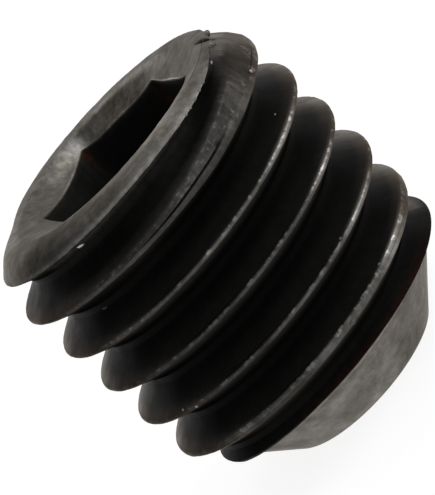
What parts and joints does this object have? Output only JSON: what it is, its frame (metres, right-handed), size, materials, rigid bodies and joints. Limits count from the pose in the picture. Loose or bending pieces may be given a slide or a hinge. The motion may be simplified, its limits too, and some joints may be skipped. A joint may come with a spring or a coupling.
{
  "type": "socket set screw",
  "caption": "Headless set screw with a right-hand thread over its whole length, a countersunk hexagon socket, a bevelled socket end and a coned flat point.",
  "frame": {"origin": "middle of the point's flat, on which the screw stands", "axes": "+Z along the screw's axis from the point to the socket, +X through one corner of the hexagon"},
  "size_m": [0.0158, 0.0158, 0.016],
  "materials": {
    "black_steel": "black-oxide alloy steel, satin, with lighter worn crests and a mottled socket end"
  },
  "bodies": {
    "root": {"set_screw": "black_steel"}
  },
  "joints": []
}
